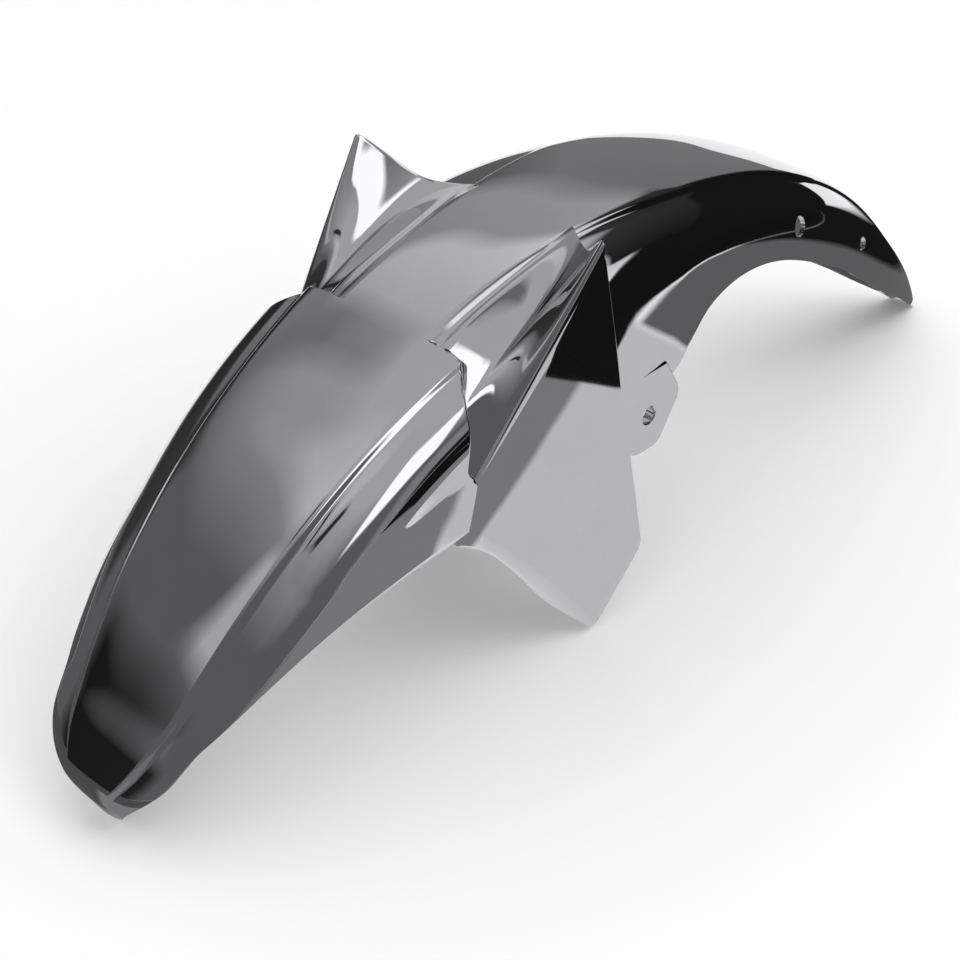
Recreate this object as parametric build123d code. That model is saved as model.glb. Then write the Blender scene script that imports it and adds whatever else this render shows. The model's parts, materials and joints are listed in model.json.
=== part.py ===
from build123d import *
import math
import os

# Front mudguard of a motorcycle: one chrome-plated plastic moulding, in millimetres.
# The guard lies as it does on a flat surface: nose to -Y, tail to +Y, Z up.
# Angles along the arch are measured at the wheel axle, from the vertical, and grow towards the tail.

# Wheel axle that the arch is drawn about
AXLE_Y = -12.0
AXLE_Z = -148.0

# Wall, sink of the raised features into it, lifts of the front and rear crown, and spread of their edges
WALL = 2.6
SINK = WALL / 2
CROWN_LIFTS = (2.4, 2.1)
CROWN_EDGE = 2.2

# Sections of the arch: angle, crown radius, half width, shoulder drop, squareness, side depth
SECTIONS = [
    (-63.3, 338.5, 9.0, 4.0, 2.2, 3.0),
    (-61.5, 351.5, 24.2, 6.0, 2.4, 3.0),
    (-58.5, 352.5, 43.5, 8.5, 2.6, 3.0),
    (-54.0, 349.5, 50.5, 12.0, 2.9, 5.0),
    (-46.0, 348.5, 60.5, 20.0, 3.3, 16.0),
    (-36.0, 348.5, 66.0, 30.0, 3.6, 43.0),
    (-29.0, 348.5, 66.5, 29.0, 3.6, 62.0),
    (-20.0, 348.5, 67.0, 29.0, 3.6, 74.0),
    (-8.0, 348.5, 67.5, 29.0, 3.4, 80.0),
    (2.0, 348.0, 65.0, 31.0, 3.2, 80.0),
    (8.0, 347.5, 62.0, 33.0, 3.0, 53.0),
    (16.0, 346.0, 58.0, 34.0, 2.8, 41.0),
    (32.0, 344.5, 50.5, 34.0, 2.6, 40.0),
    (48.0, 345.0, 39.5, 28.0, 2.5, 33.0),
    (59.0, 352.5, 22.4, 19.0, 2.4, 18.0),
    (65.2, 359.0, 9.0, 10.0, 2.4, 6.0),
]
ARCH_STEP = 4.3
DEEPEST = max(row[5] for row in SECTIONS) + 15.0

# Half width of the raised crown: in front of the fins, then between and behind them
FRONT_CROWN = [
    (-62.4, 3.0),
    (-61.2, 11.0),
    (-58.0, 21.0),
    (-52.0, 30.0),
    (-42.0, 36.5),
    (-32.0, 41.5),
    (-20.0, 47.5),
]
REAR_CROWN = [
    (-21.5, 27.0),
    (-12.0, 28.5),
    (-4.0, 32.0),
    (6.0, 36.0),
    (22.0, 30.0),
    (40.0, 21.0),
    (60.0, 7.0),
]

# Cheek in front of each fin: start, slanted step at the crown, on the shoulder and below, swell, lower edge
CHEEK_START = -42.0
CHEEK_END = -20.5
CHEEK_END_MIDDLE = -23.1
CHEEK_END_LOW = -26.0
CHEEK_SHOULDER = 62.0
CHEEK_SWELL = 4.0
CHEEK_LIP = 0.5
CHEEK_FULLNESS = 0.8
CHEEK_SINK = SINK / 2
CHEEK_DEPTHS = (14.0, 44.0)

# Fin that covers the fork leg, on the +X side
FIN_APEX = (78.0, -74.6, 226.0)
FIN_FOOT = (68.0, -145.0, 126.0)
FIN_ROOT = (31.0, -40.0, 199.5)
FIN_ROOT_LAP = 9.0
FIN_SAG = 7.0
FIN_FRONT_ANGLES = (-21.5, -26.0)
FIN_FRONT_WIDTH = 22.0
FIN_FRONT_SINK = (1.6, 0.6)
RIDGE_RADIUS = 3.2
RIDGE_PROUD = 1.0

# Outer panel of the fin, in (along, up), with a thicker root where it leaves the side wall
PANEL_TOE = 3.5
PANEL_ROOT = 3.0
PANEL_ROOT_END = -112.0
PANEL_CORNER = (-34.0, 39.0)
PANEL_TIP = (-64.0, 0.6)
PANEL_NOTCH = [(-100.0, 38.5), (-120.0, 65.5), (-140.0, 88.0), (-156.0, 99.0)]
PANEL_TIP_RADIUS = 5.0

# Fixing lugs: hole in (along, up), ends of the top and free outline from the hole
LUG_HOLE = (-22.0, 105.0)
LUG_HOLE_RADIUS = 4.5
LUG_TOP = (-28.0, 12.0)
LUG_OUTLINE = [(24.0, 4.0), (8.0, -20.0), (-10.0, -20.0), (-28.0, 0.0)]
LUG_CORNER = 6.0
LUG_THICKNESS = 6.0
LUG_LAP = 12.0
LUG_PROUD = 1.0

# Rear holes: angle, depth under the crown, radius
REAR_HOLES = [(22.3, 22.3, 5.5), (37.3, 21.6, 4.0)]
HOLE_RUN = 8.0

# Points on a curve
SPLINE_POINTS = 8
CHEEK_POINTS = 7
FIN_POINTS = 6
OUTLINE_POINTS = 160
NORMAL_STEP = 0.2


def along(table, angle, column=1):
    """Value of a table's column at an angle, on a smooth curve through its rows."""
    angle = min(max(angle, table[0][0]), table[-1][0])
    k = 0
    while k < len(table) - 2 and angle > table[k + 1][0]:
        k += 1
    a, b = table[k], table[k + 1]
    span = b[0] - a[0]
    rise = b[column] - a[column]
    before = table[k - 1] if k else a
    after = table[k + 2] if k + 2 < len(table) else b
    slope_a = (b[column] - before[column]) / (b[0] - before[0]) * span
    slope_b = (after[column] - a[column]) / (after[0] - a[0]) * span
    t = (angle - a[0]) / span
    curve = slope_a * t * (1 - t) ** 2 - slope_b * (1 - t) * t**2
    return a[column] + rise * t * t * (3 - 2 * t) + curve


def placed(x, radius, angle):
    """Point of the guard at a distance across, a radius and an angle from the axle."""
    turn = math.radians(angle)
    return (x, AXLE_Y + radius * math.sin(turn), AXLE_Z + radius * math.cos(turn))


def half_section(angle, depth):
    """Fine half outline of the shell at an angle: (across, radius) from the crown to a depth."""
    crown, width, drop, square = (along(SECTIONS, angle, k) for k in range(1, 5))
    points = []
    for k in range(OUTLINE_POINTS + 1):
        t = math.pi / 2 * (1 - k / OUTLINE_POINTS)
        across = width * math.cos(t) ** (2 / square)
        points.append((across, crown - drop * (1 - math.sin(t) ** (2 / square))))
    if depth > drop:
        points.append((width, crown - depth))
        return points
    kept = [p for p in points if crown - p[1] <= depth]
    last, over = kept[-1], points[len(kept)]
    share = (depth - crown + last[1]) / (last[1] - over[1])
    kept.append((last[0] + share * (over[0] - last[0]), crown - depth))
    return kept


def lengths(points):
    """Length along an outline at each of its points."""
    total = [0.0]
    for p, q in zip(points, points[1:]):
        total.append(total[-1] + math.dist(p, q))
    return total


def point_at(points, total, length):
    """Point of an outline at a length along it."""
    k = 0
    while k < len(points) - 2 and total[k + 1] < length:
        k += 1
    share = (length - total[k]) / (total[k + 1] - total[k])
    return tuple(a + share * (b - a) for a, b in zip(points[k], points[k + 1]))


def stretch(angle, start, end, offset, count=SPLINE_POINTS):
    """Points of the half section between two lengths, moved outward by a value or a list of values."""
    fine = half_section(angle, DEEPEST)
    total = lengths(fine)
    values = offset if isinstance(offset, list) else [offset] * count
    points = []
    for k in range(count):
        length = start + (end - start) * k / (count - 1)
        x, r = point_at(fine, total, length)
        x0, r0 = point_at(fine, total, max(length - NORMAL_STEP, 0.0))
        x1, r1 = point_at(fine, total, length + NORMAL_STEP)
        run = math.dist((x0, r0), (x1, r1)) / values[k] if values[k] else math.inf
        points.append((x + (r0 - r1) / run if length else 0.0, r + (x1 - x0) / run))
    return points


def length_at(angle, across=None, depth=None):
    """Length along the half section to a distance across, or to a depth under the crown."""
    fine = half_section(angle, DEEPEST)
    total = lengths(fine)
    for k, (x, r) in enumerate(fine):
        if across is not None and x >= across:
            return total[k]
        if depth is not None and fine[0][1] - r >= depth:
            over = fine[0][1] - r - depth
            step = fine[k - 1][1] - r
            return total[k] - (total[k] - total[k - 1]) * over / step
    return total[-1]


def closed_wire(angle, upper, lower):
    """Closed outline in the plane of an angle: an upper curve, a lower curve and two straight ends."""
    top = [placed(x, r, angle) for x, r in upper]
    under = [placed(x, r, angle) for x, r in reversed(lower)]
    return Wire([Spline(*top), Line(top[-1], under[0]), Spline(*under), Line(under[-1], top[0])])


def both_halves(points):
    """Outline of both halves from the points of the +X half."""
    return [(-x, r) for x, r in reversed(points[1:])] + points


def band(angles, reach, top, under, spread=0.0):
    """Curved plate over the middle of the arch, with its edges at a reach from the crown line."""
    wires = []
    for angle in angles:
        length = reach(angle)
        upper = both_halves(stretch(angle, 0.0, length, top))
        lower = both_halves(stretch(angle, 0.0, length + spread, under))
        wires.append(closed_wire(angle, upper, lower))
    return Solid.make_loft(wires)


def spaced(start, end):
    """Angles from start to end in equal steps of about the arch step."""
    count = max(2, round((end - start) / ARCH_STEP))
    return [start + (end - start) * k / count for k in range(count + 1)]


def side_reach(angle):
    return length_at(angle, depth=along(SECTIONS, angle, 5))


def make_shell():
    """Arched shell of one wall, from the nose to the tail."""
    return band(spaced(SECTIONS[0][0], SECTIONS[-1][0]), side_reach, 0.0, -WALL)


def make_crowns():
    """Raised crown panels, with sloping edges."""
    crowns = []
    for table, lift in zip((FRONT_CROWN, REAR_CROWN), CROWN_LIFTS):
        angles = spaced(table[0][0], table[-1][0])
        reach = lambda angle: length_at(angle, across=along(table, angle))
        crowns.append(band(angles, reach, lift, -SINK, CROWN_EDGE))
    return crowns


def make_core():
    """Space under the middle of the wall, where the fins and cheeks mustn't reach."""
    wires = []
    for angle in spaced(CHEEK_START - ARCH_STEP, -CHEEK_END):
        under = both_halves(stretch(angle, 0.0, side_reach(angle), -SINK))
        curve = [placed(x, r, angle) for x, r in under]
        wires.append(Wire([Spline(*curve), Line(curve[-1], curve[0])]))
    return Solid.make_loft(wires)


def make_cheek():
    """Bulge of the shoulder that grows towards the fin and ends in a step."""
    wires = []
    for angle in spaced(CHEEK_START, CHEEK_END):
        share = (angle - CHEEK_START) / (CHEEK_END - CHEEK_START)
        start = length_at(angle, across=along(FRONT_CROWN, angle))
        end = length_at(angle, depth=CHEEK_DEPTHS[0] * (1 - share) + CHEEK_DEPTHS[1] * share)
        height = CHEEK_SWELL * share + CHEEK_LIP
        arc = [math.sin(math.pi * k / (CHEEK_POINTS - 1)) for k in range(CHEEK_POINTS)]
        swell = [height * max(a, 0.0) ** CHEEK_FULLNESS - CHEEK_SINK for a in arc]
        upper = stretch(angle, start, end, swell, CHEEK_POINTS)
        lower = stretch(angle, start, end, -SINK, CHEEK_POINTS)
        wires.append(closed_wire(angle, upper, lower))
    top = wall_point(CHEEK_END, length_at(CHEEK_END, across=along(FRONT_CROWN, CHEEK_END)), 0.0)
    middle = wall_point(CHEEK_END_MIDDLE, length_at(CHEEK_END_MIDDLE, across=CHEEK_SHOULDER), 0.0)
    low = wall_point(CHEEK_END_LOW, length_at(CHEEK_END_LOW, depth=CHEEK_DEPTHS[1]), 0.0)
    step = Plane(top, z_dir=(middle - top).cross(low - top))
    ahead = Keep.TOP if step.z_dir.Y < 0 else Keep.BOTTOM
    return split(Solid.make_loft(wires), step, ahead)


def wall_point(angle, length, offset):
    """Point at a length along a section, moved outward from the wall."""
    across, radius = stretch(angle, length, length + 1.0, offset, 2)[0]
    return Vector(*placed(across, radius, angle))


def panel_plane():
    """Plane of the fin's outer panel, through the apex, the foot and the tip, facing outward."""
    apex, foot = Vector(FIN_APEX), Vector(FIN_FOOT)
    tip = Vector(foot.X + PANEL_TOE, *PANEL_TIP)
    normal = (foot - apex).cross(tip - apex)
    return Plane(apex, x_dir=(0, 1, 0), z_dir=normal if normal.X > 0 else -normal)


def make_sail():
    """Facet of the fin, from the shoulder of the arch to the free edge between the crown and the apex."""
    root, apex = Vector(FIN_ROOT), Vector(FIN_APEX)
    start = root + (root - apex).normalized() * FIN_ROOT_LAP
    front, rear = [], []
    for k in range(FIN_POINTS):
        share = k / (FIN_POINTS - 1)
        angle = FIN_FRONT_ANGLES[0] * (1 - share) + FIN_FRONT_ANGLES[1] * share
        inner = length_at(angle, across=FIN_FRONT_WIDTH)
        outer = length_at(angle, depth=CHEEK_DEPTHS[1])
        sink = FIN_FRONT_SINK[0] * (1 - share) + FIN_FRONT_SINK[1] * share
        front.append(wall_point(angle, inner * (1 - share) + outer * share, -sink))
        rear.append(start + (apex - start) * share - Vector(0, 0, FIN_SAG * math.sin(math.pi * share) ** 2))
    facet = Face.make_surface_from_curves(Spline(*front), Spline(*rear))
    inward = -WALL if facet.normal_at().Z > 0 else WALL
    return split(thicken(facet, inward), panel_plane().offset(-SINK), Keep.BOTTOM)


def make_panel():
    """Flat outer panel that hangs from the ridge of the fin."""
    outline = [FIN_APEX[1:], PANEL_CORNER, PANEL_TIP]
    edges = [Line(a, b) for a, b in zip(outline, outline[1:])]
    edges.append(Spline(PANEL_TIP, *PANEL_NOTCH))
    edges.append(Line(PANEL_NOTCH[-1], FIN_FOOT[1:]))
    edges.append(Line(FIN_FOOT[1:], FIN_APEX[1:]))
    sheet = make_face(edges)
    sheet = fillet(sheet.vertices().sort_by(Axis.Y)[:2], PANEL_TIP_RADIUS)
    prism = extrude(Plane.YZ * sheet, 2 * FIN_APEX[0])
    span = 4 * FIN_APEX[2]
    skin = Box(span, span, WALL, align=(Align.CENTER, Align.CENTER, Align.MAX))
    root = Box(span, span, WALL + PANEL_ROOT, align=(Align.MAX, Align.CENTER, Align.MAX))
    slab = skin + Pos(PANEL_ROOT_END - FIN_APEX[1], 0, 0) * root
    return prism & (panel_plane() * slab)


def make_ridge():
    """Rounded bead along the ridge of the fin, from the foot to the apex."""
    foot = Vector(FIN_FOOT)
    line = Vector(FIN_APEX) - foot
    edges = [Line((0, 0), (RIDGE_RADIUS, 0)), Line((RIDGE_RADIUS, 0), (RIDGE_RADIUS, line.length))]
    edges.append(CenterArc((0, line.length), RIDGE_RADIUS, 0, 90))
    edges.append(Line((0, line.length + RIDGE_RADIUS), (0, 0)))
    bead = revolve(make_face(edges), Axis.Y, 360)
    outward = panel_plane().z_dir
    start = foot - outward * (RIDGE_RADIUS - RIDGE_PROUD)
    return Plane(start, x_dir=outward, z_dir=outward.cross(line)) * bead


def make_lug():
    """Thick tab under the side, where the guard bolts to the fork leg."""
    y, z = LUG_HOLE
    outer = along(SECTIONS, 0.0, 2) + LUG_PROUD
    top = AXLE_Z + along(SECTIONS, 0.0, 1) - along(SECTIONS, 0.0, 5) + LUG_LAP
    outline = [(y + step, top) for step in LUG_TOP]
    outline += [(y + step, z + rise) for step, rise in LUG_OUTLINE]
    sheet = make_face(Polyline(*outline, close=True))
    sheet = fillet(sheet.vertices().sort_by(Axis.Y)[:len(LUG_OUTLINE)], LUG_CORNER)
    return Plane.YZ.offset(outer - LUG_THICKNESS) * extrude(sheet, LUG_THICKNESS)


def lug_hole():
    """Round hole through both lugs."""
    return Pos(0, *LUG_HOLE) * Rot(0, 90, 0) * Cylinder(LUG_HOLE_RADIUS, 2 * FIN_APEX[0])


def rear_hole(angle, depth, radius):
    """Round hole square to the side wall."""
    length = length_at(angle, depth=depth)
    inner, outer = wall_point(angle, length, -HOLE_RUN), wall_point(angle, length, HOLE_RUN)
    return Plane((inner + outer) / 2, z_dir=outer - inner) * Cylinder(radius, 2 * HOLE_RUN)


def mirrored(solids):
    return solids + [mirror(s, Plane.YZ) for s in solids]


def make_mudguard():
    """Whole moulding: shell, crowns, cheeks, fins and lugs in one, with its holes."""
    core = make_core()
    fin = make_panel().fuse(make_ridge(), make_sail())
    guard = make_shell().fuse(*make_crowns())
    for piece in mirrored([make_cheek() - core, fin - core, make_lug()]):
        guard = guard.fuse(piece)
    return guard.cut(lug_hole(), *mirrored([rear_hole(*row) for row in REAR_HOLES]))


def centred(solid):
    """Solid moved so that the middle of its box's underside is the origin."""
    box = solid.bounding_box()
    return Pos(0, -box.center().Y, -box.min.Z) * solid


os.makedirs("parts", exist_ok=True)
mudguard = centred(make_mudguard())
export_step(mudguard, "parts/mudguard.step")
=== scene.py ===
import json
import math

import bmesh
import bpy
import numpy as np
from mathutils import Matrix, Vector


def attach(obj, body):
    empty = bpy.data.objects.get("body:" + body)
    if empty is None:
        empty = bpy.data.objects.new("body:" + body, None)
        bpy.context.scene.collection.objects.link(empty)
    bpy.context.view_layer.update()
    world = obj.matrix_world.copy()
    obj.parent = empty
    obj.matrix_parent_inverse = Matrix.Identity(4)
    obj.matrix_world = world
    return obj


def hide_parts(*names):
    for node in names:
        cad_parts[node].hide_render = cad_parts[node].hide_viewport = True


bl_info = {
    "name": "Motorcycle front mudguard",
    "version": (1, 0, 0),
    "blender": (4, 5, 0),
    "location": "View3D > Sidebar > Mudguard",
    "description": "Chrome-plated front mudguard of a motorcycle, with its studio",
    "category": "Object",
}

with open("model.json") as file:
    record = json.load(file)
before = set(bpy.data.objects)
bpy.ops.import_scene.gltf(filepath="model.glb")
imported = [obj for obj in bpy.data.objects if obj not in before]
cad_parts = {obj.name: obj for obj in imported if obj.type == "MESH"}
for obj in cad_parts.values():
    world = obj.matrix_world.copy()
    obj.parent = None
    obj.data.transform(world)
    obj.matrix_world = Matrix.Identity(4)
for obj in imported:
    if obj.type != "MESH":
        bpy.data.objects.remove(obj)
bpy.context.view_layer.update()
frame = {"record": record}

MM = 0.001
NODE = "mudguard"

# The tables below are in millimetres and degrees, about the wheel's axle. Angles grow towards the tail.
# Wheel axle in (along, up)
AXLE = (-12.0, -148.0)
# Sections of the arch: angle, crown radius, half width, shoulder drop, squareness, side depth
SECTIONS = [
    (-63.3, 338.5, 9.0, 4.0, 2.2, 3.0),
    (-61.5, 351.5, 24.2, 6.0, 2.4, 3.0),
    (-58.5, 352.5, 43.5, 8.5, 2.6, 3.0),
    (-54.0, 349.5, 50.5, 12.0, 2.9, 5.0),
    (-46.0, 348.5, 60.5, 20.0, 3.3, 16.0),
    (-36.0, 348.5, 66.0, 30.0, 3.6, 43.0),
    (-29.0, 348.5, 66.5, 29.0, 3.6, 62.0),
    (-20.0, 348.5, 67.0, 29.0, 3.6, 74.0),
    (-8.0, 348.5, 67.5, 29.0, 3.4, 80.0),
    (2.0, 348.0, 65.0, 31.0, 3.2, 80.0),
    (8.0, 347.5, 62.0, 33.0, 3.0, 53.0),
    (16.0, 346.0, 58.0, 34.0, 2.8, 41.0),
    (32.0, 344.5, 50.5, 34.0, 2.6, 40.0),
    (48.0, 345.0, 39.5, 28.0, 2.5, 33.0),
    (59.0, 352.5, 22.4, 19.0, 2.4, 18.0),
    (65.2, 359.0, 9.0, 10.0, 2.4, 6.0),
]
# How deep a side wall can be followed, and how fast the shell falls off beyond its sides
DEEPEST = 95.0
SIDE_FALL = 10.0
# Half width of the raised crown: in front of the fins, then between and behind them
FRONT_CROWN = [
    (-62.4, 3.0),
    (-61.2, 11.0),
    (-58.0, 21.0),
    (-52.0, 30.0),
    (-42.0, 36.5),
    (-32.0, 41.5),
    (-20.0, 47.5),
]
REAR_CROWN = [
    (-21.5, 27.0),
    (-12.0, 28.5),
    (-4.0, 32.0),
    (6.0, 36.0),
    (22.0, 30.0),
    (40.0, 21.0),
    (60.0, 7.0),
]
# Crown: step between its two parts and the step's run, angle over which the rear part settles to its own height,
# start and rise at the nose, end and fall at the tail, and the most of a half section that its edge takes
CROWN_STEP = -20.2
CROWN_STEP_RUN = 0.4
CROWN_SETTLE = 30.0
CROWN_NOSE = -62.2
CROWN_NOSE_RISE = 2.0
CROWN_TAIL = 59.0
CROWN_TAIL_FALL = 1.6
CROWN_EDGE_MOST = 0.1
# Cheek in front of each fin: angles of its start and of the top and foot of its slanted step, run of the step's
# rounded edge, lip, fullness, share of the wall that its root is sunk, and depths of its lower edge
CHEEK_START = -42.0
CHEEK_END = -20.5
CHEEK_END_LOW = -26.0
CHEEK_EDGE = 0.7
CHEEK_LIP = 0.5
CHEEK_FULLNESS = 0.8
CHEEK_SUNK = 0.25
CHEEK_DEPTHS = (14.0, 44.0)
# Angles between which the rows lean fully with the cheek's step, and the bend of the step
CHEEK_LEAN = (-23.0, -18.0)
CHEEK_BEND = 1.7
# Fin: apex, foot and root, lap of its free edge into the crown, and its front edge on the shoulder by its angles,
# its start across and its depths below the shell
FIN_APEX = np.array((78.0, -74.6, 226.0))
FIN_FOOT = np.array((68.0, -145.0, 126.0))
FIN_ROOT = np.array((31.0, -40.0, 199.5))
FIN_ROOT_LAP = 9.0
FIN_FRONT_ANGLES = (-21.5, -26.0)
FIN_FRONT_WIDTH = 22.0
FIN_FRONT_SINK = (1.6, 0.6)
# Seat of the fin's facet on the shell: depth below it, least softness of the valley, shares across and back over
# which the softness grows, and the share across where the facet begins to leave the shell, with its run
FIN_SEAT = 0.12
FIN_BLEND_LEAST = 0.4
FIN_BLEND_GROWS = (0.22, 0.3)
FIN_FREE_START = 0.45
FIN_FREE_RUN = 0.35
# Ridge of the fin: share of its rounding at the foot, share of the wall at the ridge, and where the wall grows
RIDGE_AT_FOOT = 0.4
RIDGE_WALL = 0.25
RIDGE_WALL_START = 0.3
# Hollow of the shoulder behind each cheek, over which the fin's facet runs: depth of the facet at its front,
# how far the shell lies below it, start across, and angle over which it runs out
FACET_SINK = 13.0
FACET_CLEAR = 2.5
FACET_START = 36.0
FACET_FADE = 15.0
# Outer panel of the fin, in (along, up): how far its tip stands out past the foot, trailing corner, tip, front
# edge from the tip up to the skirt, and rounding of the corners
PANEL_TOE = 3.5
PANEL_CORNER = (-34.0, 39.0)
PANEL_TIP = (-64.0, 0.6)
PANEL_NOTCH = [PANEL_TIP, (-100.0, 38.5), (-120.0, 65.5), (-140.0, 88.0), (-156.0, 99.0)]
PANEL_ROUND = 5.0
# Fixing lugs: hole in (along, up), its radius, ends of the top and free outline from the hole, rounding of the
# corners, lap onto the side wall, and how far the outer face stands proud of it
LUG_HOLE = (-22.0, 105.0)
LUG_HOLE_RADIUS = 4.5
LUG_TOP = (-28.0, 12.0)
LUG_OUTLINE = [(-28.0, 0.0), (-10.0, -20.0), (8.0, -20.0), (24.0, 4.0)]
LUG_CORNER = 5.0
LUG_LAP = 12.0
LUG_PROUD = 1.0
# Rear holes: angle, depth under the crown, radius. Their cutters reach this far to each side of the wall.
REAR_HOLES = [(22.3, 22.3, 5.5), (37.3, 21.6, 4.0)]
CUTTER_REACH = 8.0
# Eased edges of the wall and of the lugs: width, segments and least angle. Edges past the last angle stay crisp.
WALL_EASE = (0.5, 2, 62.0)
LUG_EASE = (0.6, 1, 60.0)
CRISP_ANGLE = 38.0

# Arch in bands of angles with the number of rows in each, and the columns of each band across a half
ROW_BANDS = [(-63.3, 20), (-60.0, 40), (-42.0, 46), (-20.9, 12), (-19.6, 104), (58.5, 24), (65.19, 0)]
COLUMN_BANDS = (12, 6, 8, 6, 20, 8)
# Places of the column bands as shares. The inner crown edge: most of the outer one in front of the crown's step,
# most of the half section behind it. The outer one: most of the half section, its share of the side behind the
# step and the angle over which it gets there. Then the least band between them, and the upper share of the side.
INNER_MOST = (0.6, 0.4)
OUTER_MOST = 0.7
OUTER_BEHIND = 0.3
OUTER_SETTLE = 14.0
BAND_LEAST = 0.05
SIDE_UPPER = 0.72
# Fineness of the fins, outlines and holes: rows and bands of a fin, points across its facet and along its notch,
# notch points that give way to the rounded tip, points round a lug, steps of a corner, sides of a cutter, points
# of a section, and the length to each side over which its slope is taken
FIN_ROWS = 64
FIN_BANDS = (34, 12, 26)
FACET_POINTS = 121
NOTCH_POINTS = 40
NOTCH_TRIM = 4
LUG_POINTS = 120
CORNER_STEPS = 6
CUTTER_SIDES = 64
OUTLINE_POINTS = 4000
SLOPE_STEP = 0.4

# Move from the frame of the tables to the row frame, from the place of the left lug's hole
HOLE_PLACE = next(m["pos_m"] for m in frame["record"]["mounts"] if m["name"] == "lug_hole_left")
SHIFT = np.array((0.0, HOLE_PLACE[1] / MM - LUG_HOLE[0], HOLE_PLACE[2] / MM - LUG_HOLE[1]))
AXLE_PLACE = (AXLE[0] + SHIFT[1], AXLE[1] + SHIFT[2])


def smooth(x):
    """Smooth rise from 0 at 0 to 1 at 1."""
    x = np.clip(x, 0.0, 1.0)
    return x * x * (3 - 2 * x)


def smooth_max(a, b, blend):
    """Larger of two values, rounded where they meet."""
    near = np.maximum(blend - np.abs(a - b), 0.0)
    return np.maximum(a, b) + near * near / (4 * blend)


def between(ends, share):
    """Value at a share of the way between two ends."""
    return ends[0] * (1 - share) + ends[1] * share


def along(table, angle, column=1):
    """Value of a table's column at an angle, on a smooth curve through its rows."""
    angle = min(max(angle, table[0][0]), table[-1][0])
    k = 0
    while k < len(table) - 2 and angle > table[k + 1][0]:
        k += 1
    a, b = table[k], table[k + 1]
    span = b[0] - a[0]
    before = table[k - 1] if k else a
    after = table[k + 2] if k + 2 < len(table) else b
    slope_a = (b[column] - before[column]) / (b[0] - before[0]) * span
    slope_b = (after[column] - a[column]) / (after[0] - a[0]) * span
    t = (angle - a[0]) / span
    curve = slope_a * t * (1 - t) ** 2 - slope_b * (1 - t) * t**2
    return a[column] + (b[column] - a[column]) * t * t * (3 - 2 * t) + curve


class Section:
    """Half outline of the shell in the plane of one angle, by length from the crown line."""

    def __init__(self, angle):
        self.angle = angle
        values = [along(SECTIONS, angle, k) for k in range(1, len(SECTIONS[0]))]
        self.crown, self.width, self.drop, self.square, self.depth = values
        t = np.pi / 2 * (1 - np.arange(OUTLINE_POINTS + 1) / OUTLINE_POINTS)
        x = self.width * np.maximum(np.cos(t), 0.0) ** (2 / self.square)
        r = self.crown - self.drop * (1 - np.sin(t) ** (2 / self.square))
        x[0] = 0.0
        self.x = np.append(x, self.width)
        self.r = np.append(r, self.crown - DEEPEST)
        self.length = np.append(0.0, np.cumsum(np.hypot(np.diff(self.x), np.diff(self.r))))

    def at_width(self, across):
        """Length at a distance across."""
        return float(np.interp(across, self.x[:-1], self.length[:-1]))

    def at_depth(self, depth):
        """Length at a depth under the crown."""
        return float(np.interp(depth, self.crown - self.r, self.length))

    def points(self, length, offset):
        """Across and radius at lengths, moved outward from the wall."""
        low, high = np.maximum(length - SLOPE_STEP, 0.0), length + SLOPE_STEP
        dx = np.interp(high, self.length, self.x) - np.interp(low, self.length, self.x)
        dr = np.interp(high, self.length, self.r) - np.interp(low, self.length, self.r)
        run = np.hypot(dx, dr)
        nx = np.where(length > 0, -dr / run, 0.0)
        nr = np.where(length > 0, dx / run, 1.0)
        x = np.interp(length, self.length, self.x) + nx * offset
        return x, np.interp(length, self.length, self.r) + nr * offset


def hollow(s, length):
    """Share of the shoulder's hollow under a fin's facet, at lengths of a half section."""
    start, end = s.at_width(FACET_START), s.at_depth(CHEEK_DEPTHS[1])
    return np.sin(np.pi * np.clip((length - start) / (end - start), 0.0, 1.0))


def run_out(row):
    """Share of the hollow that is left at a row behind the cheek's step."""
    return float(1 - smooth((row - CHEEK_END - CHEEK_EDGE) / FACET_FADE))


def placed(x, r, angle):
    """Points of the guard from distances across, radii and angles, in millimetres."""
    turn = np.radians(angle)
    y = AXLE_PLACE[0] + r * np.sin(turn)
    z = AXLE_PLACE[1] + r * np.cos(turn)
    return np.stack([x + 0 * r, y, z], axis=-1)


def base_radius(x, angle, sizes):
    """Radius of the shell with its rear crown at a distance across and an angle."""
    s = Section(angle)
    share = np.clip(np.abs(x) / s.width, 0.0, 1.0)
    r = s.crown - s.drop * (1 - (1 - share**s.square) ** (1 / s.square))
    r = r - SIDE_FALL * np.maximum(np.abs(x) - s.width, 0.0)
    depth = (FACET_SINK + FACET_CLEAR) * hollow(s, s.at_width(abs(x))) * run_out(angle)
    past_crown = smooth((np.abs(x) - along(REAR_CROWN, angle)) / (sizes.crown_edge / MM))
    return r - depth + sizes.rear_lift / MM * (1 - past_crown)


def run_along(line):
    """Length along a line of points, at each of them."""
    return np.append(0.0, np.cumsum(np.linalg.norm(np.diff(line, axis=0), axis=1)))


def spread(line, at):
    """Points of a line at lengths along it."""
    total = run_along(line)
    return np.stack([np.interp(at, total, line[:, k]) for k in range(line.shape[1])], axis=-1)


def bend(a, b, c, t):
    """Point of a round bend from a to c whose corner is b."""
    return (1 - t) ** 2 * a + 2 * t * (1 - t) * b + t * t * c


def rounded(points, radius):
    """Open outline with its inner corners rounded."""
    points = [np.array(p, float) for p in points]
    out = [points[0]]
    for a, b, c in zip(points, points[1:], points[2:]):
        back = b + (a - b) * radius / np.linalg.norm(a - b)
        on = b + (c - b) * radius / np.linalg.norm(c - b)
        out += [bend(back, b, on, k / CORNER_STEPS) for k in range(CORNER_STEPS + 1)]
    return np.array(out + [points[-1]])


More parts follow.
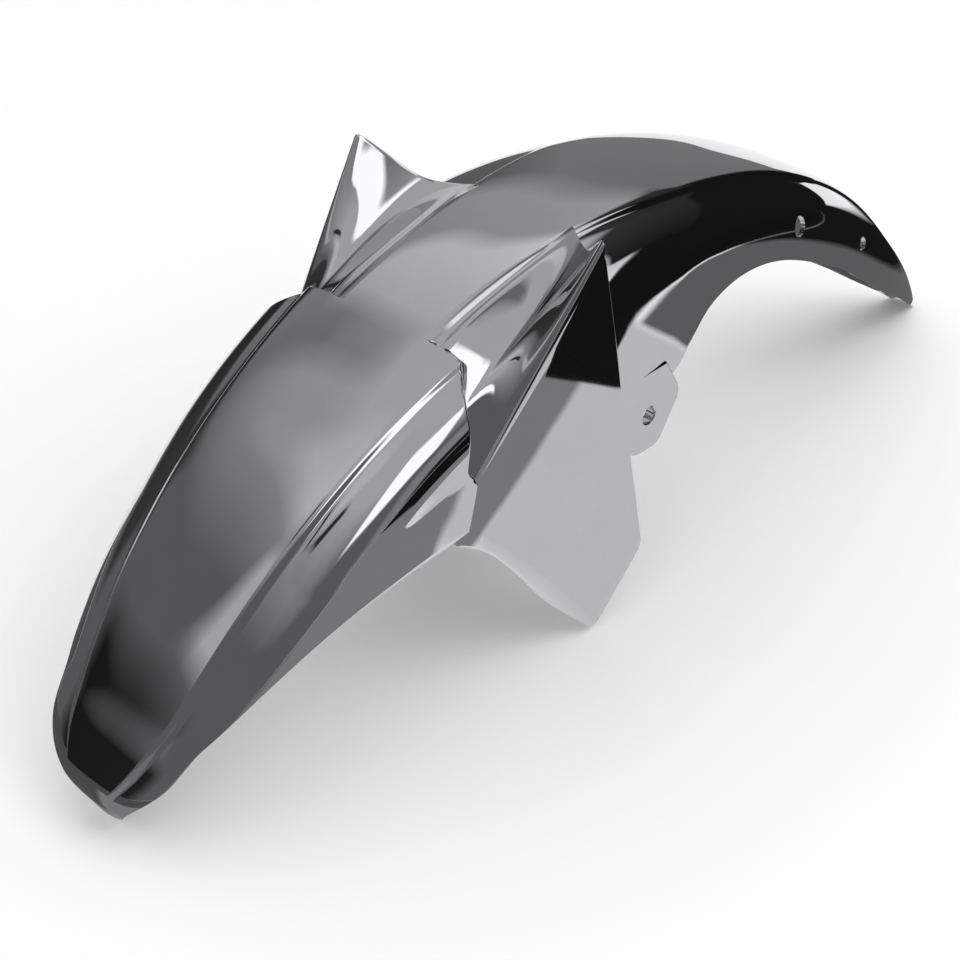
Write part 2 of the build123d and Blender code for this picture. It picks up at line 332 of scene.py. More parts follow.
def through(points, count):
    """Points on a smooth curve through a few points."""
    p = np.array(points, float)
    knots = run_along(p)
    slope = np.gradient(p, knots, axis=0)
    out = []
    for t in np.linspace(0.0, knots[-1], count):
        k = min(int(np.searchsorted(knots, t, "right")) - 1, len(p) - 2)
        span = knots[k + 1] - knots[k]
        s = (t - knots[k]) / span
        h = (2 * s**3 - 3 * s**2 + 1, s**3 - 2 * s**2 + s, -2 * s**3 + 3 * s**2, s**3 - s**2)
        out.append(h[0] * p[k] + h[1] * span * slope[k] + h[2] * p[k + 1] + h[3] * span * slope[k + 1])
    return np.array(out)


def grid_faces(rows, columns):
    """Quads of a grid of points stored row by row."""
    corners = [i * columns + j for i in range(rows - 1) for j in range(columns - 1)]
    return [(k, k + 1, k + columns + 1, k + columns) for k in corners]


def add_object(name, data):
    """Object in the scene from its mesh, lamp or camera."""
    body = bpy.data.objects.new(name, data)
    bpy.context.scene.collection.objects.link(body)
    return body


def new_piece(name, points, faces):
    """Mesh object from points in millimetres."""
    mesh = bpy.data.meshes.new(name)
    mesh.from_pydata([tuple(p * MM) for p in points], [], faces)
    mesh.validate()
    return add_object(name, mesh)


def both_sides(name, points, faces):
    """Left piece from its points and faces, then the right one as its mirror image."""
    for side, sign in (("left", 1.0), ("right", -1.0)):
        order = faces if sign > 0 else [f[::-1] for f in faces]
        yield new_piece(f"mudguard_{name}_{side}", points * np.array((sign, 1.0, 1.0)), order)


def facing(direction):
    """Turn that points the Z axis in a direction."""
    return Vector(direction).to_track_quat("Z", "Y").to_matrix().to_4x4()


def apply_modifiers(body):
    """Replaces an object's mesh by what its modifiers make of it."""
    graph = bpy.context.evaluated_depsgraph_get()
    mesh = bpy.data.meshes.new_from_object(body.evaluated_get(graph))
    body.modifiers.clear()
    body.data = mesh


def ease_edges(body, width, segments, angle):
    """Eases the edges of a solid past an angle."""
    ease = body.modifiers.new("rim", "BEVEL")
    ease.width = width * MM
    ease.segments = segments
    ease.limit_method = "ANGLE"
    ease.angle_limit = math.radians(angle)
    apply_modifiers(body)


def thicken(body, wall, group=None):
    """Gives a sheet its wall, inward from its face, with slightly eased rims."""
    solid = body.modifiers.new("wall", "SOLIDIFY")
    solid.thickness = wall
    solid.offset = -1.0
    if group:
        solid.vertex_group = group
        solid.thickness_vertex_group = 0.0
    ease_edges(body, *WALL_EASE)


def cylinder(centre, axis, radius, length):
    """Round cutter along an axis."""
    mesh = bpy.data.meshes.new("cutter")
    bm = bmesh.new()
    bmesh.ops.create_cone(
        bm,
        cap_ends=True,
        segments=CUTTER_SIDES,
        radius1=radius * MM,
        radius2=radius * MM,
        depth=length * MM,
        matrix=Matrix.Translation(Vector(centre) * MM) @ facing(axis),
    )
    bm.to_mesh(mesh)
    bm.free()
    return add_object("cutter", mesh)


def cut(body, cutters):
    """Cuts round holes in a solid and removes the cutters."""
    for tool in cutters:
        hole = body.modifiers.new("hole", "BOOLEAN")
        hole.operation = "DIFFERENCE"
        hole.solver = "EXACT"
        hole.object = tool
    apply_modifiers(body)
    for tool in cutters:
        bpy.data.objects.remove(tool)


class MudguardSizes(bpy.types.PropertyGroup):
    """Sizes of the guard that a user would change."""

    wall: bpy.props.FloatProperty(
        name="Wall", description="Thickness of the moulding", default=0.0026, unit="LENGTH", precision=4
    )
    crown_lift: bpy.props.FloatProperty(
        name="Crown lift", description="Height of the raised crown", default=0.0024, unit="LENGTH", precision=4
    )
    rear_lift: bpy.props.FloatProperty(
        name="Rear lift",
        description="Height of the crown behind the fins",
        default=0.0021,
        unit="LENGTH",
        precision=4,
    )
    crown_edge: bpy.props.FloatProperty(
        name="Crown edge",
        description="Width of the crown's rounded edge",
        default=0.0042,
        unit="LENGTH",
        precision=4,
    )
    cheek_swell: bpy.props.FloatProperty(
        name="Cheek swell",
        description="Height of the cheek at the fin",
        default=0.004,
        unit="LENGTH",
        precision=4,
    )
    fin_sag: bpy.props.FloatProperty(
        name="Fin sag", description="Sag of the fin's free edge", default=0.007, unit="LENGTH", precision=4
    )
    fin_blend: bpy.props.FloatProperty(
        name="Fin blend",
        description="Softness of the valley between crown and fin",
        default=0.012,
        unit="LENGTH",
        precision=4,
    )
    ridge_round: bpy.props.FloatProperty(
        name="Ridge round",
        description="Reach of the rounded ridge at the apex",
        default=0.0095,
        unit="LENGTH",
        precision=4,
    )
    lug_thickness: bpy.props.FloatProperty(
        name="Lug thickness",
        description="Thickness of the fixing lugs",
        default=0.006,
        unit="LENGTH",
        precision=4,
    )


class MudguardLook(bpy.types.PropertyGroup):
    """Colours of the plating and the studio."""

    plating: bpy.props.FloatVectorProperty(
        name="Plating",
        description="Colour of the bright plating",
        default=(0.72, 0.73, 0.75),
        subtype="COLOR",
        min=0.0,
        max=1.0,
    )
    polish: bpy.props.FloatProperty(
        name="Polish", description="Roughness of the plating", default=0.03, subtype="FACTOR", min=0.0, max=1.0
    )
    floor: bpy.props.FloatVectorProperty(
        name="Floor",
        description="Colour of the floor",
        default=(0.94, 0.94, 0.94),
        subtype="COLOR",
        min=0.0,
        max=1.0,
    )


def arch_rows():
    """Angles of the arch's rows, closest where the crown and the cheeks end."""
    rows = []
    for (start, count), (end, _) in zip(ROW_BANDS, ROW_BANDS[1:]):
        rows += [start + (end - start) * k / count for k in range(count)]
    return rows + [ROW_BANDS[-1][0]]


def edge_width(s, sizes):
    """Width of the crown's edge on a section, less where the section is short."""
    return min(sizes.crown_edge / MM, CROWN_EDGE_MOST * s.at_depth(s.depth))


def columns(s, row, edge):
    """Lengths of a half section's columns from the crown line to the lower edge, then of both crown edges."""
    reach = s.at_depth(s.depth)
    front = s.at_width(along(FRONT_CROWN, s.angle))
    rear = s.at_width(along(REAR_CROWN, s.angle))
    outer = min(front, OUTER_MOST * reach)
    free = rear + edge + OUTER_BEHIND * (reach - rear - edge)
    outer = outer + (free - outer) * float(smooth((row - CROWN_STEP) / OUTER_SETTLE))
    inner = min(rear, INNER_MOST[0] * outer if row < CROWN_STEP else INNER_MOST[1] * reach)
    outer = max(outer, inner + edge + BAND_LEAST * reach)
    upper = outer + edge + SIDE_UPPER * (reach - outer - edge)
    stops = [0.0, inner, inner + edge, outer, outer + edge, upper, reach]
    length = [0.0]
    for a, b, count in zip(stops, stops[1:], COLUMN_BANDS):
        length += [a + (b - a) * k / count for k in range(1, count + 1)]
    return np.array(length), front, rear


def outer_face(angle, row, sizes):
    """Half section of the shell's outer face at an angle, with the crown and the cheek that its row has."""
    s = Section(angle)
    edge = edge_width(s, sizes)
    length, front, rear = columns(s, row, edge)
    in_front = (1 - smooth((length - front) / edge)) * smooth((row - CROWN_NOSE) / CROWN_NOSE_RISE)
    in_front = in_front * (1 - smooth((row - CROWN_STEP + CROWN_STEP_RUN / 2) / CROWN_STEP_RUN))
    behind = (1 - smooth((length - rear) / edge)) * (1 - smooth((row - CROWN_TAIL) / CROWN_TAIL_FALL))
    behind = behind if row > REAR_CROWN[0][0] else 0.0 * length
    lifts = (sizes.crown_lift / MM, sizes.rear_lift / MM)
    rear_lift = between(lifts, float(smooth((row - CROWN_STEP) / CROWN_SETTLE)))
    offset = np.maximum(lifts[0] * in_front, rear_lift * behind)
    step = (1 - np.clip((row - CHEEK_END) / CHEEK_EDGE, 0.0, 1.0) ** 2) ** 0.5
    offset = offset - (FACET_SINK + FACET_CLEAR) * hollow(s, length) * run_out(row) * (1 - step)
    if CHEEK_START < angle and row < CHEEK_END + CHEEK_EDGE:
        share = min((angle - CHEEK_START) / (CHEEK_END - CHEEK_START), 1.0)
        end = s.at_depth(between(CHEEK_DEPTHS, share))
        height = sizes.cheek_swell / MM * share + CHEEK_LIP
        arc = np.sin(np.pi * np.clip((length - front) / (end - front), 0.0, 1.0))
        swell = height * np.maximum(arc, 0.0) ** CHEEK_FULLNESS - sizes.wall / MM * CHEEK_SUNK
        offset = offset + np.maximum(swell, 0.0) * step
    x, r = s.points(length, offset)
    return placed(x, r, angle)


def shell_row(row, sizes):
    """Half row of the shell's outer face. Rows by the cheek lean with its slanted step."""
    points = outer_face(row, row, sizes)
    near = smooth((row - CHEEK_START) / (CHEEK_LEAN[0] - CHEEK_START)) * (1 - smooth(1 - row / CHEEK_LEAN[1]))
    s = Section(row)
    length, front, _ = columns(s, row, edge_width(s, sizes))
    side = np.clip((length - front) / (s.at_depth(CHEEK_DEPTHS[1]) - front), 0.0, 1.0)
    lean = (CHEEK_END - CHEEK_END_LOW) * (1 - (1 - side) ** CHEEK_BEND) * near
    for k in np.nonzero(lean)[0]:
        points[k] = outer_face(row - lean[k], row, sizes)[k]
    return points


def rear_hole_cutters():
    """Cutters square to the wall at the rear holes of both sides."""
    cutters = []
    for angle, depth, radius in REAR_HOLES:
        s = Section(angle)
        length = np.array([s.at_depth(depth)])
        near, far = (placed(*s.points(length, reach), angle)[0] for reach in (-CUTTER_REACH, CUTTER_REACH))
        for sign in (1.0, -1.0):
            flip = np.array((sign, 1.0, 1.0))
            cutters.append(cylinder((near + far) / 2 * flip, (far - near) * flip, radius, 2 * CUTTER_REACH))
    return cutters


class MUDGUARD_OT_shell(bpy.types.Operator):
    """Make the arched shell with its raised crown, cheeks and rear holes"""

    bl_idname = "mudguard.shell"
    bl_label = "Arched shell"

    def execute(self, context):
        sizes = context.scene.mudguard_sizes
        rows = []
        for angle in arch_rows():
            half = shell_row(angle, sizes)
            far = half[:0:-1] * np.array((-1.0, 1.0, 1.0))
            rows.append(np.vstack([far, half]))
        body = new_piece("mudguard_shell", np.vstack(rows), grid_faces(len(rows), len(rows[0])))
        thicken(body, sizes.wall)
        cut(body, rear_hole_cutters())
        return {"FINISHED"}


def panel_outline(count):
    """Lower edge of the outer panel from the skirt over the tip to the trailing corner, in (along, up)."""
    notch = through(PANEL_NOTCH, NOTCH_POINTS)[::-1]
    kept = len(notch) - 1 - NOTCH_TRIM
    bent = rounded([notch[kept], notch[-1], PANEL_CORNER, FIN_APEX[1:]], PANEL_ROUND)
    edge = np.vstack([notch[:kept], bent[:-1]])
    return spread(edge, np.linspace(0.0, run_along(edge)[-1], count))


def facet_edges(start, apex, shares, sizes):
    """Front edge of the fin's facet on the shoulder and its sagging free edge, at shares from the crown out."""
    front, rear = [], []
    for share in shares:
        angle = between(FIN_FRONT_ANGLES, share)
        s = Section(angle)
        length = between((s.at_width(FIN_FRONT_WIDTH), s.at_depth(CHEEK_DEPTHS[1])), share)
        sink = between((between(FIN_FRONT_SINK, share), FACET_SINK), float(hollow(s, length)))
        front.append(placed(*s.points(np.array([length]), -sink), angle)[0])
        drop = sizes.fin_sag / MM * math.sin(math.pi * share) ** 2
        rear.append(start + (apex - start) * share - np.array((0.0, 0.0, drop)))
    return np.array(front), np.array(rear)


def seated(facet, shares, back, sizes):
    """Row of the facet with its inner part raised onto the shell, in a soft valley."""
    y, z = facet[:, 1] - AXLE_PLACE[0], facet[:, 2] - AXLE_PLACE[1]
    radius, turn = np.hypot(y, z), np.degrees(np.arctan2(y, z))
    ground = np.array([base_radius(x, a, sizes) for x, a in zip(facet[:, 0], turn)])
    softness = sizes.fin_blend / MM * smooth(shares / FIN_BLEND_GROWS[0]) * smooth(back / FIN_BLEND_GROWS[1])
    raised = smooth_max(radius, ground - FIN_SEAT, softness + FIN_BLEND_LEAST) - radius
    radius = radius + raised * (1 - smooth((shares - FIN_FREE_START) / FIN_FREE_RUN))
    return placed(facet[:, 0], radius, turn)


def fin_row(facet, low, reach):
    """Row of the fin over its facet, its rounded ridge and its panel down to a point of the lower edge."""
    ridge = facet[-1]
    inner = spread(facet, np.linspace(0.0, run_along(facet)[-1] - reach, FIN_BANDS[0] + 1))
    begin, end = inner[-1], ridge + (low - ridge) / np.linalg.norm(low - ridge) * reach
    peak = ridge + (2 * ridge - begin - end) / 4
    over = [bend(begin, peak, end, k / FIN_BANDS[1]) for k in range(1, FIN_BANDS[1] + 1)]
    panel = [end + (low - end) * k / FIN_BANDS[2] for k in range(1, FIN_BANDS[2] + 1)]
    return np.vstack([inner, over, panel])


def fin_rows(sizes):
    """Rows of the fin's outer face, from front to rear. The panel lies in one plane."""
    apex, foot, root = (p + SHIFT for p in (FIN_APEX, FIN_FOOT, FIN_ROOT))
    tip = np.array((foot[0] + PANEL_TOE, PANEL_TIP[0] + SHIFT[1], PANEL_TIP[1] + SHIFT[2]))
    normal = np.cross(foot - apex, tip - apex)
    start = root + (root - apex) / np.linalg.norm(root - apex) * FIN_ROOT_LAP
    shares = np.linspace(0.0, 1.0, FACET_POINTS)
    front, rear = facet_edges(start, apex, shares, sizes)
    rows = []
    for i, (y, z) in enumerate(panel_outline(FIN_ROWS) + SHIFT[1:]):
        back = i / (FIN_ROWS - 1)
        facet = seated(between((front, rear), back), shares, back, sizes)
        x = apex[0] - (normal[1] * (y - apex[1]) + normal[2] * (z - apex[2])) / normal[0]
        reach = sizes.ridge_round / MM * between((RIDGE_AT_FOOT, 1.0), back)
        rows.append(fin_row(facet, np.array((x, y, z)), reach))
    return rows


class MUDGUARD_OT_fins(bpy.types.Operator):
    """Make the two pointed fins with their rounded ridges and outer panels"""

    bl_idname = "mudguard.fins"
    bl_label = "Side fins"

    def execute(self, context):
        sizes = context.scene.mudguard_sizes
        rows = fin_rows(sizes)
        width = len(rows[0])
        points = np.vstack(rows)
        ridge = FIN_BANDS[0] + FIN_BANDS[1] / 2
        for body in both_sides("fin", points, grid_faces(len(rows), width)):
            group = body.vertex_groups.new(name="wall")
            for column in range(width):
                far = abs(column - ridge) / FIN_BANDS[1]
                share = between((RIDGE_WALL, 1.0), float(smooth(far - RIDGE_WALL_START)))
                group.add(list(range(column, len(points), width)), share, "REPLACE")
            thicken(body, sizes.wall, group.name)
        return {"FINISHED"}


def lug_mesh(sizes):
    """Points and faces of the left lug: four loops, round the rim and the bore of its outer and inner face."""
    hole = SHIFT[1:] + LUG_HOLE
    section = Section(0.0)
    outer = section.width + LUG_PROUD
    inner = outer - sizes.lug_thickness / MM
    top = AXLE_PLACE[1] + section.crown - section.depth + LUG_LAP
    free = [hole + corner for corner in LUG_OUTLINE]
    edge = rounded([(hole[0] + LUG_TOP[0], top), *free, (hole[0] + LUG_TOP[1], top)], LUG_CORNER)
    closed = np.vstack([edge, edge[:1]])
    rim = spread(closed, np.linspace(0.0, run_along(closed)[-1], LUG_POINTS, endpoint=False))
    spokes = rim - hole
    bore = hole + LUG_HOLE_RADIUS * spokes / np.linalg.norm(spokes, axis=1)[:, None]
    loops = ((outer, rim), (outer, bore), (inner, bore), (inner, rim))
    faces = []
    for a in range(len(loops)):
        b = (a + 1) % len(loops)
        for k in range(LUG_POINTS):
            on = (k + 1) % LUG_POINTS
            faces.append(tuple(loop * LUG_POINTS + i for loop, i in ((a, k), (a, on), (b, on), (b, k))))
    return np.array([(x, *p) for x, loop in loops for p in loop]), faces


class MUDGUARD_OT_lugs(bpy.types.Operator):
    """Make the two thick lugs with their bolt holes"""

    bl_idname = "mudguard.lugs"
    bl_label = "Fixing lugs"

    def execute(self, context):
        for body in both_sides("lug", *lug_mesh(context.scene.mudguard_sizes)):
            ease_edges(body, *LUG_EASE)
        return {"FINISHED"}


class Socket:
    """Shader value that maths can be written with."""

    def __init__(self, tree, link):
        self.tree = tree
        self.link = link

    def math(self, operation, a, b):
        node = self.tree.nodes.new("ShaderNodeMath")
        node.operation = operation
        for k, value in enumerate((a, b)):
            if isinstance(value, Socket):
                self.tree.links.new(value.link, node.inputs[k])
            else:
                node.inputs[k].default_value = value
        return Socket(self.tree, node.outputs[0])

    def __add__(self, other):
        return self.math("ADD", self, other)

    def __radd__(self, other):
        return self.math("ADD", other, self)

    def __sub__(self, other):
        return self.math("SUBTRACT", self, other)

    def __rsub__(self, other):
        return self.math("SUBTRACT", other, self)

    def __mul__(self, other):
        return self.math("MULTIPLY", self, other)

    def __rmul__(self, other):
        return self.math("MULTIPLY", other, self)

    def at_most(self, other):
        return self.math("MINIMUM", self, other)

    def at_least(self, other):
        return self.math("MAXIMUM", self, other)


class Shader:
    """Material or world whose nodes are made one by one."""

    def __init__(self, owner):
        owner.use_nodes = True
        self.tree = owner.node_tree
        self.tree.nodes.clear()

    def node(self, kind, settings=None, inputs=None):
        """Node of a kind, with its settings and its sockets' values or links."""
        node = self.tree.nodes.new("ShaderNode" + kind)
        for name, value in (settings or {}).items():
            setattr(node, name, value)
        for name, value in (inputs or {}).items():
            if isinstance(value, Socket):
                self.tree.links.new(value.link, node.inputs[name])
            else:
                node.inputs[name].default_value = value
        return node

    def out(self, kind, output, settings=None, inputs=None):
        """One output of a new node."""
        return Socket(self.tree, self.node(kind, settings, inputs).outputs[output])

    def mix(self, factor, a, b):
        """Colour between two colours."""
        return self.out("Mix", 2, {"data_type": "RGBA"}, {"Factor": factor, "A": a, "B": b})


# Plating: noise of its haze, its dust and the slow waves of the moulding, least and added roughness in the haze,
# level from which the noise is dust and how rough that is, dimming in the haze, and height of the waves
HAZE = {"Scale": 38.0, "Detail": 4.0, "Roughness": 0.6}
DUST = {"Scale": 900.0, "Detail": 2.0}
WAVE = {"Scale": 16.0, "Detail": 1.0}
HAZE_ROUGH = (0.55, 0.9)
DUST_START = 0.62
DUST_ROUGH = 0.25
HAZE_DIM = 0.9
WAVE_BUMP = {"Strength": 0.035, "Distance": 0.004}


def chrome(look):
    """Bright plating: a near mirror with faint haze and the slow waves of a plastic moulding."""
    material = bpy.data.materials.new("chrome_plating")
    s = Shader(material)
    place = s.out("TexCoord", "Object")
    haze, dust, wave = (s.out("TexNoise", "Fac", None, {"Vector": place, **n}) for n in (HAZE, DUST, WAVE))
    rough = look.polish * (HAZE_ROUGH[0] + haze * HAZE_ROUGH[1])
    rough = rough + (dust - DUST_START).at_least(0.0) * DUST_ROUGH
    bright, dim = ((*(level * c for c in look.plating), 1.0) for level in (1.0, HAZE_DIM))
    colour = s.mix(haze, bright, dim)
    bump = s.out("Bump", "Normal", None, {"Height": wave, **WAVE_BUMP})
    finish = {"Base Color": colour, "Metallic": 1.0, "Roughness": rough, "Normal": bump}
    s.node("OutputMaterial", None, {"Surface": s.out("BsdfPrincipled", 0, None, finish)})
    return material


class MUDGUARD_OT_join(bpy.types.Operator):
    """Join the shell, fins and lugs into one moulding and plate it"""

    bl_idname = "mudguard.join"
    bl_label = "One plated moulding"

    def execute(self, context):
        names = ["shell", "fin_left", "fin_right", "lug_left", "lug_right"]
        pieces = [bpy.data.objects["mudguard_" + n] for n in names]
        with context.temp_override(active_object=pieces[0], selected_editable_objects=pieces):
            bpy.ops.object.join()
        body = pieces[0]
        body.name = "mudguard_skin"
        body.data.name = "mudguard_skin"
        body.vertex_groups.clear()
        body.data.shade_smooth()
        body.data.set_sharp_from_angle(angle=math.radians(CRISP_ANGLE))
        body.data.materials.clear()
        body.data.materials.append(chrome(context.scene.mudguard_look))
        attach(body, "root")
        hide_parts(NODE)
        return {"FINISHED"}


# Camera: place in the frame of the tables, turn, downward tilt, focal length, sensor, and clipping in metres
CAMERA_PLACE = (614.0, -723.4, 687.0)
CAMERA_AZIMUTH = 43.22
CAMERA_ELEVATION = 34.98
CAMERA_LENS = 82.5
CAMERA_SENSOR = 36.0
CAMERA_CLIP = (0.05, 50.0)
# The studio from here on is in metres and degrees.
# Floor's reach to each side
FLOOR_REACH = 6.0
# Lamp that brightens the floor: size, power, place and the direction that it shines from
LAMP_SIZE = (1.2, 0.8)
LAMP_POWER = 6.0
LAMP_PLACE = (1.2, 0.3, 1.6)
LAMP_FROM = (1.2, 0.3, 1.5)
# Curved cards that the plating mirrors: azimuths from the nose over +X, elevations, distance,
# brightness at the first and the last azimuth, and the share of each side that fades out
CARDS = [
    ("ceiling", (-180, 180), (25, 90), 2.5, (0.48, 0.48), (0.001, 0.001)),
    ("tent", (-180, 180), (-60, 57), 2.4, (0.13, 0.13), (0.001, 0.22)),
    ("ceiling_back", (104, 219), (58, 90), 2.3, (0.17, 0.17), (0.3, 0.25)),
    ("far_left", (-172, -132), (-20, 40), 2.2, (0.19, 0.22), (0.2, 0.2)),
    ("front_light", (-66, -28), (43, 68), 2.2, (0.50, 0.62), (0.25, 0.25)),
    ("left_light", (-158, -74), (26, 58), 2.1, (0.46, 0.16), (0.12, 0.25)),
    ("left_strip", (-150, -92), (43, 60), 2.05, (0.80, 0.45), (0.15, 0.2)),
    ("left_flag", (-108, -58), (2, 34), 2.0, (0.02, 0.05), (0.12, 0.15)),
    ("nose_light", (-37, -20), (20, 44), 2.05, (0.5, 0.5), (0.3, 0.2)),
    ("nose_flag", (-50, -14), (-12, 20), 2.0, (0.01, 0.02), (0.20, 0.20)),
    ("edge_flag", (-27, -17), (45, 56), 2.0, (0.03, 0.03), (0.2, 0.2)),
    ("right_softbox", (42, 82), (34, 64), 2.0, (1.4, 1.4), (0.08, 0.12)),
    ("right_grey", (76, 116), (-15, 30), 2.1, (0.24, 0.30), (0.15, 0.15)),
    ("band_flag", (90, 116), (-3, 9), 2.0, (0.02, 0.01), (0.15, 0.2)),
    ("rear_strip", (98, 168), (45, 60), 2.1, (1.1, 0.7), (0.05, 0.12)),
    ("rear_flag", (161, 210), (26, 57), 1.95, (0.01, 0.04), (0.08, 0.08)),
    ("right_flag", (118, 200), (-28, 47), 2.0, (0.008, 0.01), (0.04, 0.05)),
]
# Height of the middle of the curved cards, and their fineness
CARD_MIDDLE = 0.1
CARD_STEPS = 16
# Cards on the floor, each a little above the one before: corners, brightness, and the share of each side that
# fades out
FLOOR_CARDS = [
    ("floor_front", ((-1.9, -1.9), (0.17, -1.9), (0.17, -0.30), (-1.9, -0.30)), 0.09, (0.03, 0.008)),
    ("floor_left", ((-1.9, -0.40), (-0.10, -0.40), (-0.10, -0.24), (-1.9, -0.24)), 0.10, (0.03, 0.15)),
    ("floor_far", ((0.15, -1.9), (1.9, -1.9), (1.9, -0.34), (0.0, -0.34)), 0.20, (0.03, 0.01)),
    ("floor_near", ((0.05, -0.07), (0.26, -0.07), (0.26, 0.20), (0.05, 0.20)), 0.66, (0.05, 0.05)),
    ("floor_side", ((-0.03, -0.36), (1.9, -0.36), (1.9, 0.058), (0.240, 0.058)), 0.25, (0.003, 0.01)),
    ("floor_band", ((0.272, -0.065), (1.9, -0.10), (1.9, 0.05), (0.262, 0.03)), 0.008, (0.006, 0.08)),
    ("floor_dark", ((0.256, 0.037), (1.9, -0.03), (1.9, 0.30), (0.2165, 0.0735)), 0.008, (0.002, 0.002)),
    ("floor_flag", ((0.2165, 0.072), (1.9, 0.072), (1.9, 1.9), (0.208, 1.9)), 0.008, (0.003, 0.001)),
    ("floor_rear", ((-0.12, 0.185), (0.2125, 0.185), (0.2125, 0.38), (-0.12, 0.38)), 0.14, (0.02, 0.03)),
    ("floor_back", ((-0.12, 0.345), (0.26, 0.345), (0.26, 1.9), (-0.12, 1.9)), 0.01, (0.15, 0.02)),
]
FLOOR_CARD_RISE = 0.001
# Corners of a flat sheet as shares, and its one face
CORNERS = ((0, 0), (1, 0), (1, 1), (0, 1))
QUAD = [(0, 1, 2, 3)]


def glow(name, levels, fades):
    """Self-lit card with soft sides, evenly graded from its first to its last azimuth."""
    material = bpy.data.materials.new(name)
    s = Shader(material)
    place = s.node("SeparateXYZ", None, {"Vector": s.out("TexCoord", "UV")})
    u, v = (Socket(s.tree, place.outputs[k]) for k in range(2))
    first, last = ((level, level, level, 1.0) for level in levels)
    cover = 1.0
    for share, fade in ((u, fades[0]), (v, fades[1])):
        for side in (share, 1.0 - share):
            cover = (side * (1.0 / fade)).at_most(1.0) * cover
    light = s.out("Emission", 0, None, {"Color": s.mix(u, first, last), "Strength": 1.0})
    clear = s.out("BsdfTransparent", 0)
    mixed = s.out("MixShader", 0, None, {"Fac": cover, 1: clear, 2: light})
    s.node("OutputMaterial", None, {"Surface": mixed})
    return material


def card(name, points, faces, shares, levels, fades):
    """Card kept out of sight and out of the light, so that only the plating shows it."""
    mesh = bpy.data.meshes.new(name)
    mesh.from_pydata(points, [], faces)
    layer = mesh.uv_layers.new(name="share")
    for loop in mesh.loops:
        layer.data[loop.index].uv = shares[loop.vertex_index]
    mesh.materials.append(glow(name, levels, fades))
    body = add_object(name, mesh)
    for ray in ("camera", "diffuse", "shadow", "transmission"):
        setattr(body, "visible_" + ray, False)


def round_card(name, azimuths, elevations, distance, levels, fades):
    """Card that is part of a sphere around the guard."""
    ticks = [k / CARD_STEPS for k in range(CARD_STEPS + 1)]
    shares = [(u, v) for u in ticks for v in ticks]
    points = []
    for u, v in shares:
        az, el = math.radians(between(azimuths, u)), math.radians(between(elevations, v))
        out = distance * math.cos(el)
        points.append((out * math.sin(az), -out * math.cos(az), distance * math.sin(el) + CARD_MIDDLE))
    card(name, points, grid_faces(len(ticks), len(ticks)), shares, levels, fades)


def floor_card(name, corners, level, fades, height):
    """Flat card just above the floor."""
    card(name, [(*corner, height) for corner in corners], QUAD, CORNERS, (level, level), fades)


def pale_floor(look):
    """Matt floor under the guard."""
    paint = bpy.data.materials.new("floor")
    s = Shader(paint)
    matt = s.out("BsdfDiffuse", 0, None, {"Color": (*look.floor, 1.0)})
    s.node("OutputMaterial", None, {"Surface": matt})
    mesh = bpy.data.meshes.new("floor")
    sides = (-FLOOR_REACH, FLOOR_REACH)
    mesh.from_pydata([(sides[u], sides[v], 0.0) for u, v in CORNERS], [], QUAD)
    mesh.materials.append(paint)
    add_object("floor", mesh)


def white_surroundings(scene):
    """Even white light from all around."""
    scene.world = bpy.data.worlds.new("studio")
    s = Shader(scene.world)
    sky = s.out("Background", 0, None, {"Color": (1.0, 1.0, 1.0, 1.0), "Strength": 1.0})
    s.node("OutputWorld", None, {"Surface": sky})


def softbox():
    """Lamp that the plating doesn't mirror."""
    lamp = bpy.data.lights.new("softbox", "AREA")
    lamp.shape = "RECTANGLE"
    lamp.size, lamp.size_y = LAMP_SIZE
    lamp.energy = LAMP_POWER
    body = add_object("softbox", lamp)
    body.matrix_world = Matrix.Translation(LAMP_PLACE) @ facing(LAMP_FROM)
    body.visible_glossy = False


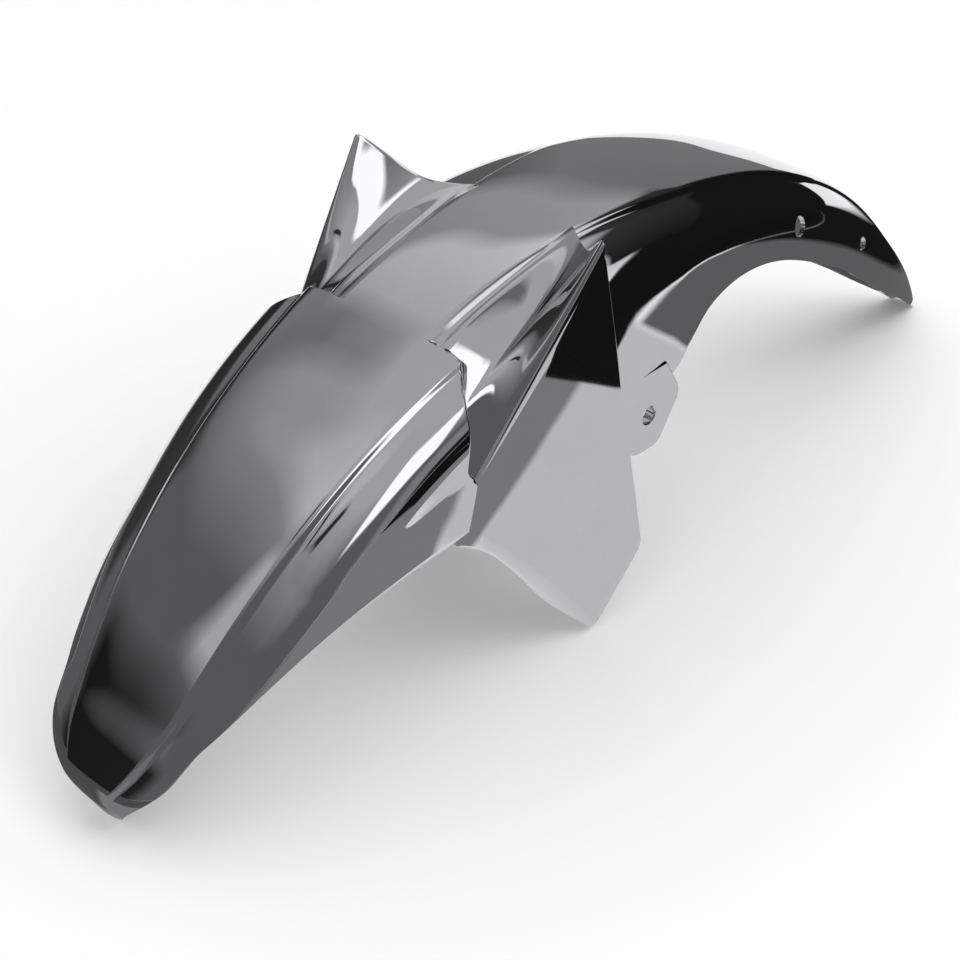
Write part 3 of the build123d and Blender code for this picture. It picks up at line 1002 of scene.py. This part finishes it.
def camera(scene):
    """Camera above and beside the nose."""
    data = bpy.data.cameras.new("camera")
    data.lens = CAMERA_LENS
    data.sensor_width = CAMERA_SENSOR
    data.sensor_fit = "HORIZONTAL"
    data.clip_start, data.clip_end = CAMERA_CLIP
    data.dof.use_dof = False
    turn = Matrix.Rotation(math.radians(CAMERA_AZIMUTH), 4, "Z")
    tilt = Matrix.Rotation(math.radians(90.0 - CAMERA_ELEVATION), 4, "X")
    scene.camera = add_object("camera", data)
    scene.camera.matrix_world = Matrix.Translation(Vector((SHIFT + CAMERA_PLACE) * MM)) @ turn @ tilt


class MUDGUARD_OT_stage(bpy.types.Operator):
    """Make the pale floor, the soft studio light, its cards and the camera"""

    bl_idname = "mudguard.stage"
    bl_label = "Studio"

    def execute(self, context):
        scene = context.scene
        scene.view_settings.view_transform = "Standard"
        pale_floor(scene.mudguard_look)
        white_surroundings(scene)
        for row in CARDS:
            round_card(*row)
        for k, row in enumerate(FLOOR_CARDS):
            floor_card(*row, (k + 1) * FLOOR_CARD_RISE)
        softbox()
        camera(scene)
        return {"FINISHED"}


class MUDGUARD_PT_panel(bpy.types.Panel):
    """Sizes, colours and steps of the guard"""

    bl_idname = "MUDGUARD_PT_panel"
    bl_label = "Mudguard"
    bl_space_type = "VIEW_3D"
    bl_region_type = "UI"
    bl_category = "Mudguard"

    def draw(self, context):
        for group in (context.scene.mudguard_sizes, context.scene.mudguard_look):
            for name in group.bl_rna.properties.keys():
                if name not in ("rna_type", "name"):
                    self.layout.prop(group, name)
        for step in STEPS:
            self.layout.operator(step.bl_idname)


STEPS = (MUDGUARD_OT_shell, MUDGUARD_OT_fins, MUDGUARD_OT_lugs, MUDGUARD_OT_join, MUDGUARD_OT_stage)
CLASSES = (MudguardSizes, MudguardLook, *STEPS, MUDGUARD_PT_panel)


def register():
    for item in CLASSES:
        bpy.utils.register_class(item)
    bpy.types.Scene.mudguard_sizes = bpy.props.PointerProperty(type=MudguardSizes)
    bpy.types.Scene.mudguard_look = bpy.props.PointerProperty(type=MudguardLook)


def unregister():
    del bpy.types.Scene.mudguard_look
    del bpy.types.Scene.mudguard_sizes
    for item in reversed(CLASSES):
        bpy.utils.unregister_class(item)


def main():
    register()
    bpy.ops.mudguard.shell()
    bpy.ops.mudguard.fins()
    bpy.ops.mudguard.lugs()
    bpy.ops.mudguard.join()
    bpy.ops.mudguard.stage()


if __name__ == "__main__":
    main()
